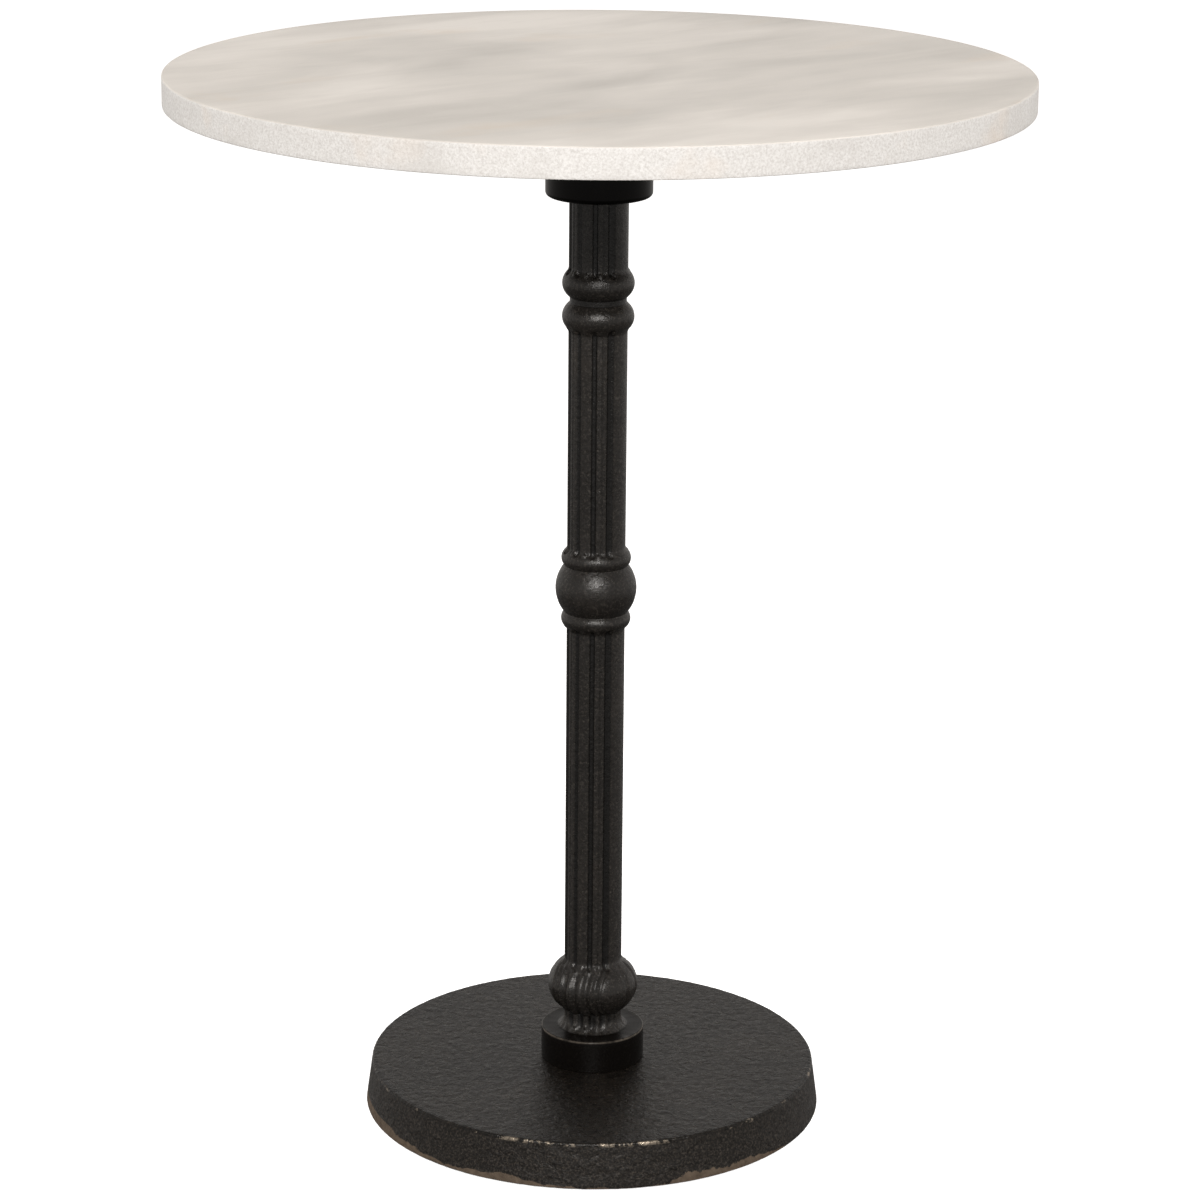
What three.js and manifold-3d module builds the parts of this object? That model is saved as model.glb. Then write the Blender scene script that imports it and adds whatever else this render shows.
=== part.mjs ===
// Bistro table: round marble slab on a fluted cast-iron column and a round cast-iron foot.
// Millimetres, +Z up. The origin is on the floor under the column's axis, and -Y is the front.
import * as THREE from 'three';
import { mergeVertices } from 'three/addons/utils/BufferGeometryUtils.js';
import Module from 'manifold-3d';

const wasm = await Module();
wasm.setup();

// Overall sizes.
const TABLE_HEIGHT = 762;
const TOP_RADIUS = 300;
const TOP_THICKNESS = 21;
const TOP_ARRIS = 1.2;
const PAD_THICKNESS = 2;
const SLAB_UNDERSIDE = TABLE_HEIGHT - TOP_THICKNESS;
const SPIDER_TOP = SLAB_UNDERSIDE - PAD_THICKNESS;

// Foot casting.
const RIM_CLEARANCE = 1;
const BASE_TOP = 34.4;
const PLATE_UNDERSIDE = BASE_TOP - 10;
const CENTRE_PAD_UNDERSIDE = BASE_TOP - 14;
const CENTRE_PAD_RADIUS = 45;
const RIM_ROUND = 1.2;
const SHOULDER_ROUND = 2;
const SKIRT_THICKNESS = 9;
const RIM_RADIUS = 166.5;
const BASE_SHOULDER_RADIUS = 162.3;
const SKIRT_INNER_RADIUS = RIM_RADIUS - SKIRT_THICKNESS;
const BASE_RIB = { width: 8, inner: 38, outer: 155, lowInner: 11, lowOuter: 15 };
const LUG = { radius: 12, low: 12, boreRadius: 4.4, boreTop: 31, fromAxis: 135 };

// Column casting, from the foot up.
const HUB_RADIUS = 37.5;
const BOSS_TOP = 58.4;
const BOSS_ROUND = 2.2;
const NECK_RADIUS = 21;
const NECK_FLARE = { across: 5.5, up: 9 };
const SHAFT_RADIUS = 20.8;
const COLUMN_TOP = 675.3;
const COLUMN_BORE_RADIUS = 11;
const SPIGOT = { radius: 15, length: 6 };
const LOWER_BALL = { centre: 0, z: 91.5, across: 32.8, up: 24 };
const MIDDLE_BALL = { centre: 0, z: 392.8, across: 29.05, up: 27.9 };
const RING = { centre: 17.5, across: 7.45, up: 7.45 };
const RING_OFFSET = 22.35;
const RING_GROOVE_RADIUS = 22.8;
const BEAD = { centre: 12.6, across: 12.9, up: 12.2 };
const BEAD_HEIGHTS = [590.4, 614.1];
const BEAD_GROOVE_RADIUS = 20;

// The column was cast in a two-part mould, so its flutes are laid out about the mould's draw axis.
const DRAW_ANGLE = -23;
const FLUTES = [
  { offset: 16.5, radius: 2.2, depth: 1.5 },
  { offset: 49.5, radius: 3.2, depth: 1.8 },
];

// Spider that carries the slab.
const HUB_ROUND = 3.5;
const ARM = { inner: 30, outer: 185, flangeWidth: 26, flange: 7, rib: 8, lowInner: 700, lowOuter: 727 };
const ARM_TIP = { radius: 17, depth: 10, holeRadius: 4.5 };
const NUT_POCKET = { radius: 16, floor: 722 };
const PAD = { outer: 15, inner: 5 };
const INSERT = { outer: 6, inner: 4.15, low: SLAB_UNDERSIDE + 0.3, high: SLAB_UNDERSIDE + 13 };
const INSERT_HOLE = { radius: 6.3, top: SLAB_UNDERSIDE + 13.5 };

// Fixings.
const FIT_GAP = 0.3;
const ROD = { radius: 5.7, low: 5.6, high: 737 };
const ROD_HOLE_RADIUS = 6.6;
const ROD_NUT = { flats: 18, height: 10, bore: 6 };
const ROD_WASHER = { outer: 12, inner: 6.5, thickness: 2.5 };
const LOCK_WASHER = { outer: 10, inner: 6.2, thickness: 2 };
const BOLT = { flats: 13, head: 5.3, radius: 3.8, top: 753 };
const BOLT_WASHER = { outer: 8, inner: 4.2, thickness: 1.6 };
const DOWEL = { radius: 2.5, fromAxis: 27, low: 27.4, high: 43, angle: 90 };
const FOOT = { radius: 16, height: 7, chamfer: 1, socketRadius: 5.4, socketFloor: 3 };
const STEM = { radius: 4, top: 29.5, footRadius: 5, footLow: 3.3, flats: 13, collarLow: 7.4, collarHigh: 11.4 };

const ARM_ANGLES = [0, 90, 180, 270];
const LUG_ANGLES = [45, 135, 225, 315];
const SEGMENTS = { slab: 64, base: 64, column: 32, hub: 32, small: 16 };
const ARC_STEPS = 2;
const MERGE_DISTANCE = 1e-3;

const STONE = { color: 0xcfcac2, roughness: 0.35, metalness: 0 };
const IRON = { color: 0x2b2725, roughness: 0.6, metalness: 0.4 };
const STEEL = { color: 0x8d9094, roughness: 0.4, metalness: 0.9 };
const BRASS = { color: 0xb08d4a, roughness: 0.4, metalness: 0.9 };
const RUBBER = { color: 0x1c1c1c, roughness: 0.9, metalness: 0 };
const NYLON = { color: 0x26262a, roughness: 0.7, metalness: 0 };

const radians = THREE.MathUtils.degToRad;

// ---- Solids ----

/** Manifold solid of a closed three.js geometry. */
function solid(geometry) {
  const bare = geometry.clone();
  bare.deleteAttribute('normal');
  bare.deleteAttribute('uv');
  const merged = mergeVertices(bare, MERGE_DISTANCE);
  const corners = merged.index.array;
  const triangles = [];
  for (let i = 0; i < corners.length; i += 3) {
    const [a, b, c] = corners.slice(i, i + 3);
    const collapsed = a === b || b === c || c === a;
    if (!collapsed) triangles.push(a, b, c);
  }
  const vertProperties = new Float32Array(merged.attributes.position.array);
  return new wasm.Manifold(new wasm.Mesh({ numProp: 3, vertProperties, triVerts: new Uint32Array(triangles) }));
}

/** Body turned about Z from a closed (radius, height) profile. */
function turned(profile, segments) {
  const points = profile.getPoints(ARC_STEPS);
  return solid(new THREE.LatheGeometry(points, segments).rotateX(Math.PI / 2));
}

function cylinder(radius, low, high, segments = SEGMENTS.small) {
  const geometry = new THREE.CylinderGeometry(radius, radius, high - low, segments);
  return solid(geometry.rotateX(Math.PI / 2).translate(0, 0, (low + high) / 2));
}

/** Plate of the given outline from low to high. */
function plate(shape, low, high) {
  const settings = { depth: high - low, bevelEnabled: false, curveSegments: SEGMENTS.small / 2 };
  return solid(new THREE.ExtrudeGeometry(shape, settings).translate(0, 0, low));
}

/** Upright web along +X whose (x, z) outline is given, centred on the XZ plane. */
function web(corners, thickness) {
  const outline = new THREE.Shape(corners.map(([x, z]) => new THREE.Vector2(x, z)));
  const geometry = new THREE.ExtrudeGeometry(outline, { depth: thickness, bevelEnabled: false });
  return solid(geometry.translate(0, 0, -thickness / 2).rotateX(Math.PI / 2));
}

function circle(radius) {
  return new THREE.Path().absarc(0, 0, radius, 0, 2 * Math.PI, false);
}

function ring(outer, inner, low, high) {
  const shape = new THREE.Shape().absarc(0, 0, outer, 0, 2 * Math.PI, false);
  shape.holes.push(circle(inner));
  return plate(shape, low, high);
}

/** Hexagonal prism with its corners turned off at both ends. */
function hexagon(flats, low, high) {
  const cornerRadius = flats / Math.sqrt(3);
  const turnedOff = cornerRadius - flats / 2;
  const prism = cylinder(cornerRadius, low, high, 6);
  const blank = new THREE.Path()
    .moveTo(0, low)
    .lineTo(flats / 2, low)
    .lineTo(cornerRadius, low + turnedOff / 2)
    .lineTo(cornerRadius, high - turnedOff / 2)
    .lineTo(flats / 2, high)
    .lineTo(0, high);
  return prism.intersect(turned(blank, SEGMENTS.small));
}

function place(body, fromAxis, angle) {
  return body.translate([fromAxis, 0, 0]).rotate([0, 0, angle]);
}

/** Adds an elliptical bulge to a rising profile, between two radii below and above its middle. */
function bulge(profile, { centre, z, across, up }, radiusBelow, radiusAbove) {
  const start = -Math.acos((radiusBelow - centre) / across);
  const end = Math.acos((radiusAbove - centre) / across);
  return profile.absellipse(centre, z, across, up, start, end, false, 0);
}

/** Height above the middle of a bulge at which its surface comes down to the given radius. */
function bulgeReach({ centre, across, up }, radius) {
  return up * Math.sin(Math.acos((radius - centre) / across));
}

// ---- Sub-parts ----

function marbleTop() {
  const low = SLAB_UNDERSIDE;
  const edge = new THREE.Path()
    .moveTo(0, low)
    .lineTo(TOP_RADIUS - TOP_ARRIS / 2, low)
    .lineTo(TOP_RADIUS, low + TOP_ARRIS / 2)
    .absarc(TOP_RADIUS - TOP_ARRIS, TABLE_HEIGHT - TOP_ARRIS, TOP_ARRIS, 0, Math.PI / 2, false)
    .lineTo(0, TABLE_HEIGHT);
  let slab = turned(edge, SEGMENTS.slab);
  for (const angle of ARM_ANGLES) {
    const hole = cylinder(INSERT_HOLE.radius, low - 1, INSERT_HOLE.top);
    slab = slab.subtract(place(hole, ARM.outer, angle));
  }
  return slab;
}

function columnProfile() {
  const profile = new THREE.Path()
    .moveTo(COLUMN_BORE_RADIUS, BASE_TOP - SPIGOT.length)
    .lineTo(SPIGOT.radius, BASE_TOP - SPIGOT.length)
    .lineTo(SPIGOT.radius, BASE_TOP)
    .lineTo(HUB_RADIUS, BASE_TOP)
    .absarc(HUB_RADIUS - BOSS_ROUND, BOSS_TOP - BOSS_ROUND, BOSS_ROUND, 0, Math.PI / 2, false);
  const { across, up } = NECK_FLARE;
  profile.absellipse(NECK_RADIUS + across, BOSS_TOP + up, across, up, 1.5 * Math.PI, Math.PI, true, 0);
  bulge(profile, LOWER_BALL, NECK_RADIUS, SHAFT_RADIUS);
  bulge(profile, { ...RING, z: MIDDLE_BALL.z - RING_OFFSET }, SHAFT_RADIUS, RING_GROOVE_RADIUS);
  bulge(profile, MIDDLE_BALL, RING_GROOVE_RADIUS, RING_GROOVE_RADIUS);
  bulge(profile, { ...RING, z: MIDDLE_BALL.z + RING_OFFSET }, RING_GROOVE_RADIUS, SHAFT_RADIUS);
  bulge(profile, { ...BEAD, z: BEAD_HEIGHTS[0] }, SHAFT_RADIUS, BEAD_GROOVE_RADIUS);
  bulge(profile, { ...BEAD, z: BEAD_HEIGHTS[1] }, BEAD_GROOVE_RADIUS, SHAFT_RADIUS);
  return profile
    .lineTo(SHAFT_RADIUS, COLUMN_TOP)
    .lineTo(SPIGOT.radius, COLUMN_TOP)
    .lineTo(SPIGOT.radius, COLUMN_TOP + SPIGOT.length)
    .lineTo(COLUMN_BORE_RADIUS, COLUMN_TOP + SPIGOT.length)
    .lineTo(COLUMN_BORE_RADIUS, BASE_TOP - SPIGOT.length);
}

/** The three plain lengths of the shaft, as [low, high]. */
function shaftLengths() {
  const beadReach = bulgeReach(BEAD, SHAFT_RADIUS);
  const knotReach = RING_OFFSET + bulgeReach(RING, SHAFT_RADIUS);
  return [
    [LOWER_BALL.z + bulgeReach(LOWER_BALL, SHAFT_RADIUS), MIDDLE_BALL.z - knotReach],
    [MIDDLE_BALL.z + knotReach, BEAD_HEIGHTS[0] - beadReach],
    [BEAD_HEIGHTS[1] + beadReach, COLUMN_TOP + SPIGOT.length],
  ];
}

/** Angle about Z, counted from +X, of a direction counted from the front towards +X. */
function fromFront(angle) {
  return angle - 90;
}

function column() {
  let casting = turned(columnProfile(), SEGMENTS.column);
  for (const [low, high] of shaftLengths()) {
    for (const { offset, radius, depth } of FLUTES) {
      const groove = solid(
        new THREE.CapsuleGeometry(radius, high - low, 2, 8).rotateX(Math.PI / 2).translate(0, 0, (low + high) / 2),
      );
      for (const side of [offset, -offset, 180 + offset, 180 - offset]) {
        const angle = fromFront(DRAW_ANGLE + side);
        casting = casting.subtract(place(groove, SHAFT_RADIUS - depth + radius, angle));
      }
    }
  }
  const dowelHole = cylinder(DOWEL.radius + FIT_GAP, BASE_TOP - 1, DOWEL.high + FIT_GAP);
  return casting.subtract(place(dowelHole, DOWEL.fromAxis, DOWEL.angle));
}

function basePlate() {
  const registerRadius = SPIGOT.radius + FIT_GAP;
  const registerFloor = BASE_TOP - SPIGOT.length - FIT_GAP;
  const shell = new THREE.Path()
    .moveTo(ROD_HOLE_RADIUS, CENTRE_PAD_UNDERSIDE)
    .lineTo(CENTRE_PAD_RADIUS, CENTRE_PAD_UNDERSIDE)
    .lineTo(CENTRE_PAD_RADIUS + 2, PLATE_UNDERSIDE)
    .lineTo(SKIRT_INNER_RADIUS - 2, PLATE_UNDERSIDE)
    .lineTo(SKIRT_INNER_RADIUS, PLATE_UNDERSIDE - 2)
    .lineTo(SKIRT_INNER_RADIUS, RIM_CLEARANCE)
    .absarc(RIM_RADIUS - RIM_ROUND, RIM_CLEARANCE + RIM_ROUND, RIM_ROUND, -Math.PI / 2, 0, false)
    .absarc(
      BASE_SHOULDER_RADIUS - SHOULDER_ROUND, BASE_TOP - SHOULDER_ROUND, SHOULDER_ROUND, 0, Math.PI / 2, false,
    )
    .lineTo(registerRadius, BASE_TOP)
    .lineTo(registerRadius, registerFloor)
    .lineTo(ROD_HOLE_RADIUS, registerFloor)
    .lineTo(ROD_HOLE_RADIUS, CENTRE_PAD_UNDERSIDE);
  let casting = turned(shell, SEGMENTS.base);
  const inPlate = PLATE_UNDERSIDE + 1;
  const { inner, outer, lowInner, lowOuter, width } = BASE_RIB;
  const rib = web([[inner, lowInner], [outer, lowOuter], [outer, inPlate], [inner, inPlate]], width);
  for (const angle of ARM_ANGLES) casting = casting.add(rib.rotate([0, 0, angle]));
  const lug = cylinder(LUG.radius, LUG.low, inPlate);
  const bore = cylinder(LUG.boreRadius, LUG.low - 1, LUG.boreTop);
  for (const angle of LUG_ANGLES) {
    casting = casting.add(place(lug, LUG.fromAxis, angle)).subtract(place(bore, LUG.fromAxis, angle));
  }
  const dowelHole = cylinder(DOWEL.radius + FIT_GAP, DOWEL.low - FIT_GAP, BASE_TOP + 1);
  return casting.subtract(place(dowelHole, DOWEL.fromAxis, DOWEL.angle));
}

function topSpider() {
  const registerRadius = SPIGOT.radius + FIT_GAP;
  const registerTop = COLUMN_TOP + SPIGOT.length + FIT_GAP;
  const hub = new THREE.Path()
    .moveTo(registerRadius, COLUMN_TOP)
    .lineTo(HUB_RADIUS - HUB_ROUND, COLUMN_TOP)
    .absarc(HUB_RADIUS - HUB_ROUND, COLUMN_TOP + HUB_ROUND, HUB_ROUND, -Math.PI / 2, 0, false)
    .lineTo(HUB_RADIUS, SPIDER_TOP)
    .lineTo(NUT_POCKET.radius, SPIDER_TOP)
    .lineTo(NUT_POCKET.radius, NUT_POCKET.floor)
    .lineTo(ROD_HOLE_RADIUS, NUT_POCKET.floor)
    .lineTo(ROD_HOLE_RADIUS, registerTop)
    .lineTo(registerRadius, registerTop)
    .lineTo(registerRadius, COLUMN_TOP);
  let casting = turned(hub, SEGMENTS.hub);
  const { inner, outer, flangeWidth, flange, lowInner, lowOuter } = ARM;
  const flangeLow = SPIDER_TOP - flange;
  const rib = web([[inner, lowInner], [outer, lowOuter], [outer, flangeLow + 1], [inner, flangeLow + 1]], ARM.rib);
  const top = web([[inner, flangeLow], [outer, flangeLow], [outer, SPIDER_TOP], [inner, SPIDER_TOP]], flangeWidth);
  const tip = cylinder(ARM_TIP.radius, SPIDER_TOP - ARM_TIP.depth, SPIDER_TOP).translate([outer, 0, 0]);
  const spotFace = cylinder(BOLT_WASHER.outer + 2, lowOuter - 4, SPIDER_TOP - ARM_TIP.depth).translate([outer, 0, 0]);
  const hole = cylinder(ARM_TIP.holeRadius, lowOuter - 4, SPIDER_TOP + 1).translate([outer, 0, 0]);
  const arm = rib.add(top).add(tip).subtract(spotFace).subtract(hole);
  for (const angle of ARM_ANGLES) casting = casting.add(arm.rotate([0, 0, angle]));
  return casting;
}

/** Set bolt from below, with its head under the arm's washer. */
function spiderBolt() {
  const seat = SPIDER_TOP - ARM_TIP.depth - BOLT_WASHER.thickness;
  return hexagon(BOLT.flats, seat - BOLT.head, seat).add(cylinder(BOLT.radius, seat - 1, BOLT.top));
}

function spiderWasher() {
  const seat = SPIDER_TOP - ARM_TIP.depth;
  return ring(BOLT_WASHER.outer, BOLT_WASHER.inner, seat - BOLT_WASHER.thickness, seat);
}

function nut({ flats, height, bore }, low) {
  return hexagon(flats, low, low + height).subtract(cylinder(bore, low - 1, low + height + 1));
}

function washer({ outer, inner, thickness }, low) {
  return ring(outer, inner, low, low + thickness);
}

/** Glide: a nylon disc with a socket on top for the stem's foot. */
function levellingFoot() {
  const { radius, height, chamfer, socketRadius, socketFloor } = FOOT;
  const disc = new THREE.Path()
    .moveTo(0, 0)
    .lineTo(radius - chamfer, 0)
    .lineTo(radius, chamfer)
    .lineTo(radius, height - 2 * chamfer)
    .lineTo(radius - 2 * chamfer, height)
    .lineTo(socketRadius, height)
    .lineTo(socketRadius, socketFloor)
    .lineTo(0, socketFloor);
  return turned(disc, SEGMENTS.small);
}

/** Threaded stem with a hexagonal collar and a round foot that turns in the glide. */
function levellingStem() {
  const { radius, top, footRadius, footLow, flats, collarLow, collarHigh } = STEM;
  return cylinder(footRadius, footLow, collarLow + 0.5)
    .add(hexagon(flats, collarLow, collarHigh))
    .add(cylinder(radius, collarHigh - 0.5, top));
}

// ---- Scene graph ----

function named(name, body, look) {
  const { vertProperties, triVerts } = body.getMesh();
  const geometry = new THREE.BufferGeometry();
  geometry.setAttribute('position', new THREE.BufferAttribute(new Float32Array(vertProperties), 3));
  geometry.setIndex(new THREE.BufferAttribute(new Uint32Array(triVerts), 1));
  geometry.computeVertexNormals();
  const mesh = new THREE.Mesh(geometry, new THREE.MeshStandardMaterial(look));
  mesh.name = name;
  return mesh;
}

/** Group that carries one station of a repeated set, turned and set out from the axis. */
function station(fromAxis, angle, ...meshes) {
  const turn = new THREE.Group();
  const offset = new THREE.Group();
  turn.rotation.z = radians(angle);
  offset.position.x = fromAxis;
  offset.add(...meshes);
  turn.add(offset);
  return turn;
}

const table = new THREE.Group();
const lowerWasherLow = CENTRE_PAD_UNDERSIDE - ROD_WASHER.thickness;
const lockWasherLow = lowerWasherLow - LOCK_WASHER.thickness;
const upperNutLow = NUT_POCKET.floor + ROD_WASHER.thickness;
const dowel = cylinder(DOWEL.radius, DOWEL.low, DOWEL.high);

table.add(
  named('marble_top', marbleTop(), STONE),
  named('top_spider', topSpider(), IRON),
  named('column', column(), IRON),
  named('base_plate', basePlate(), IRON),
  named('tie_rod', cylinder(ROD.radius, ROD.low, ROD.high), STEEL),
  named('top_rod_washer', washer(ROD_WASHER, NUT_POCKET.floor), STEEL),
  named('top_rod_nut', nut(ROD_NUT, upperNutLow), STEEL),
  named('bottom_rod_washer', washer(ROD_WASHER, lowerWasherLow), STEEL),
  named('bottom_lock_washer', washer(LOCK_WASHER, lockWasherLow), STEEL),
  named('bottom_rod_nut', nut(ROD_NUT, lockWasherLow - ROD_NUT.height), STEEL),
  station(DOWEL.fromAxis, DOWEL.angle, named('column_dowel', dowel, STEEL)),
);

for (const [i, angle] of ARM_ANGLES.entries()) {
  table.add(
    station(
      ARM.outer,
      angle,
      named(`spider_pad_${i + 1}`, ring(PAD.outer, PAD.inner, SPIDER_TOP, SLAB_UNDERSIDE), RUBBER),
      named(`spider_bolt_${i + 1}`, spiderBolt(), STEEL),
      named(`spider_washer_${i + 1}`, spiderWasher(), STEEL),
      named(`top_insert_${i + 1}`, ring(INSERT.outer, INSERT.inner, INSERT.low, INSERT.high), BRASS),
    ),
  );
}

for (const [i, angle] of LUG_ANGLES.entries()) {
  table.add(
    station(
      LUG.fromAxis,
      angle,
      named(`levelling_foot_${i + 1}`, levellingFoot(), NYLON),
      named(`levelling_stem_${i + 1}`, levellingStem(), STEEL),
    ),
  );
}

export default table;
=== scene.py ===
"""Bistro table: a round marble slab on a fluted cast-iron column and a round cast-iron foot."""
import math

import bmesh
import bpy
from mathutils import Matrix, Vector


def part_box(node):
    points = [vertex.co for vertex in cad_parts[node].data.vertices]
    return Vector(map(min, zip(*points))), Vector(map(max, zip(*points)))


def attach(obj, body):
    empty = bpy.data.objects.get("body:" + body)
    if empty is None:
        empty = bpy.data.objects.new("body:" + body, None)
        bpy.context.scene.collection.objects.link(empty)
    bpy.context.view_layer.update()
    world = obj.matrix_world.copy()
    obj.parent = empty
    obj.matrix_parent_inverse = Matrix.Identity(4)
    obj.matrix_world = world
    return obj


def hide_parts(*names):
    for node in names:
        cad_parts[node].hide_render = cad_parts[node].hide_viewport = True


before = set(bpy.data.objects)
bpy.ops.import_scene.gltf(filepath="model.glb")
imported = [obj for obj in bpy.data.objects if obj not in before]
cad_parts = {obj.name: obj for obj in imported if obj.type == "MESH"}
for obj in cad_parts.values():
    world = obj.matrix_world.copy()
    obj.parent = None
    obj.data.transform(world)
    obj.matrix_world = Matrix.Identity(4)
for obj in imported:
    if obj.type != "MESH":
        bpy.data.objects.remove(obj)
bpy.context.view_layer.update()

MM = 0.001
TABLE = "table"

# ---- Levels and sizes, from the frame ----
SLAB_LOW, SLAB_HIGH = (corner.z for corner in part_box("marble_top"))
SLAB_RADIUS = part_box("marble_top")[1].x
SPIDER_LOW, SPIDER_HIGH = (corner.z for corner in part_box("top_spider"))
FOOT_LOW, FOOT_HIGH = (corner.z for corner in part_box("base_plate"))
FOOT_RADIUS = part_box("base_plate")[1].x
BOSS_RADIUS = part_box("column")[1].x
COLUMN_LOW, COLUMN_HIGH = (corner.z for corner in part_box("column"))
SPIGOT_LENGTH = FOOT_HIGH - COLUMN_LOW
SHAFT_TOP = COLUMN_HIGH - SPIGOT_LENGTH

# ---- Column casting ----
BOSS_TOP = FOOT_HIGH + 24 * MM
NECK_RADIUS = 21 * MM
NECK_FLARE = (5.5 * MM, 9 * MM)
SHAFT_RADIUS = 20.8 * MM
FILLET = 1.1 * MM
BORE_RADIUS = 11 * MM
SPIGOT_RADIUS = 15 * MM
FIT_GAP = 0.3 * MM
ROD_HOLE_RADIUS = 6.6 * MM
# A bulge is (profile centre from the axis, height of its middle, reach outwards, reach upwards).
LOWER_BALL = (0, 91.5 * MM, 32.8 * MM, 24 * MM)
MIDDLE_BALL = (0, 392.8 * MM, 29.05 * MM, 27.9 * MM)
LOWER_RING = (17.5 * MM, 370.45 * MM, 7.45 * MM, 7.45 * MM)
UPPER_RING = (17.5 * MM, 415.15 * MM, 7.45 * MM, 7.45 * MM)
LOWER_BEAD = (12.6 * MM, 590.4 * MM, 12.9 * MM, 12.2 * MM)
UPPER_BEAD = (12.6 * MM, 614.1 * MM, 12.9 * MM, 12.2 * MM)
RING_GROOVE_RADIUS = 22.8 * MM
BEAD_GROOVE_RADIUS = 20 * MM

# Flutes lie about the mould's draw axis, which is turned from the front towards -X.
DRAW_ANGLE = math.radians(-90 - 23)
# Flutes are (angle from the draw axis, half width, depth).
FLUTES = ((16.5, 2.1 * MM, 1.5 * MM), (49.5, 3.0 * MM, 1.8 * MM), (33, 0.7 * MM, 0.5 * MM))
# The lands between the flutes end in small pips just past where they meet a bulge, at these angles.
PIP_ANGLES = (0, 27, 55)
PIP_RADIUS = 1.9 * MM
PIP_HEIGHT = 1.2 * MM
PIP_OVERRUN = 0.5 * MM
# The valleys of the lower ball run straight back through the mould, as (offset, half width, depth).
GADROON_ANGLE = math.radians(-90 - 26)
GADROONS = (
    (0, 4.3 * MM, 2.0 * MM),
    (9 * MM, 4.3 * MM, 2.2 * MM),
    (15.2 * MM, 2.8 * MM, 1.5 * MM),
    (18.7 * MM, 1.9 * MM, 1.1 * MM),
)
# One more valley lies by the seam of the mould, as (angle from the axis, half width, depth).
SEAM_VALLEY = ((78, 3.2 * MM, 1.0 * MM),)
GADROON_FADE_ABOVE = 4 * MM
GADROON_FADE_BELOW = 4.5 * MM
NECK_PIP_ANGLES = (11,)
NECK_PIP_LEVEL = BOSS_TOP + 4.5 * MM
# The lower ball reaches further down than up.
BALL_UNDERSIDE = 26 * MM
DEEPEST = 2.2 * MM
FLUTE_STOP = 3 * MM

# ---- Shared details ----
WELD_DISTANCE = 0.002 * MM
QUARTERS = (0, 90, 180, 270)
CORNERS = (45, 135, 225, 315)
ARM_HOLE_RADIUS = 4.5 * MM
DOWEL_HOLE_RADIUS = 2.8 * MM
M8_PITCH = 1.25 * MM
M12_PITCH = 1.75 * MM
SPANNER = 13 * MM


# ---- Modelling helpers ----


def activate(piece):
    bpy.ops.object.select_all(action="DESELECT")
    piece.select_set(True)
    bpy.context.view_layer.objects.active = piece


def edit(piece):
    activate(piece)
    bpy.ops.object.mode_set(mode="EDIT")
    bpy.ops.mesh.select_all(action="SELECT")


def leave_edit():
    bpy.ops.object.mode_set(mode="OBJECT")


def apply_modifier(piece, kind, **settings):
    modifier = piece.modifiers.new(kind.title(), kind)
    for key, value in settings.items():
        setattr(modifier, key, value)
    activate(piece)
    bpy.ops.object.modifier_apply(modifier=modifier.name)


def weld(piece):
    """Merges points that lie on one another."""
    edit(piece)
    bpy.ops.mesh.remove_doubles(threshold=WELD_DISTANCE)
    leave_edit()


def cut(piece, tool, operation="DIFFERENCE"):
    """Cuts, joins or intersects a piece with a tool body, which is used up."""
    apply_modifier(piece, "BOOLEAN", operation=operation, solver="EXACT", object=tool)
    bpy.data.objects.remove(tool)
    weld(piece)


def smooth(piece, degrees=35):
    activate(piece)
    bpy.ops.object.shade_smooth_by_angle(angle=math.radians(degrees))


def turned(name, profile, steps, closed=False):
    """Draws a point along a (radius, height) profile and spins the line about the axis."""
    bpy.ops.object.select_all(action="DESELECT")
    bpy.ops.mesh.primitive_plane_add(size=MM)
    piece = bpy.context.object
    piece.name = name
    edit(piece)
    bpy.ops.mesh.merge(type="CENTER")
    radius, height = profile[0]
    bpy.ops.transform.translate(value=(radius, 0, height))
    points = profile + profile[:1] if closed else profile
    for (r0, z0), (r1, z1) in zip(points, points[1:]):
        bpy.ops.mesh.extrude_region_move(TRANSFORM_OT_translate={"value": (r1 - r0, 0, z1 - z0)})
    bpy.ops.mesh.select_all(action="SELECT")
    bpy.ops.mesh.spin(steps=steps, angle=2 * math.pi, center=(0, 0, 0), axis=(0, 0, 1))
    bpy.ops.mesh.select_all(action="SELECT")
    bpy.ops.mesh.remove_doubles(threshold=WELD_DISTANCE)
    bpy.ops.mesh.normals_make_consistent(inside=False)
    leave_edit()
    return piece


def arc(centre_r, centre_z, across, up, start, end, steps):
    """Points of an elliptical arc; angles in degrees, 0 outwards and 90 upwards."""
    angles = [math.radians(start + (end - start) * i / steps) for i in range(steps + 1)]
    return [(centre_r + across * math.cos(a), centre_z + up * math.sin(a)) for a in angles]


def bulge(form, radius_below, radius_above, steps):
    centre, height, across, up = form
    start = -math.degrees(math.acos((radius_below - centre) / across))
    end = math.degrees(math.acos((radius_above - centre) / across))
    return arc(centre, height, across, up, start, end, steps)


def reach(form, radius):
    """Height above a bulge's middle at which it comes down to a radius."""
    centre, _, across, up = form
    return up * math.sin(math.acos((radius - centre) / across))


def straight(radius, low, high, steps):
    """Evenly spaced points between two heights, without the ends."""
    return [(radius, low + (high - low) * i / steps) for i in range(1, steps)]


def span(r0, r1, height, steps):
    """Evenly spaced points along a flat face, without the ends."""
    return [(r0 + (r1 - r0) * i / steps, height) for i in range(1, steps)]


def bar(radius, low, high, at=(0, 0), sides=32):
    bpy.ops.object.select_all(action="DESELECT")
    bpy.ops.mesh.primitive_cylinder_add(vertices=sides, radius=radius, depth=high - low)
    piece = bpy.context.object
    edit(piece)
    bpy.ops.transform.translate(value=(at[0], at[1], (low + high) / 2))
    leave_edit()
    return piece


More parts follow.
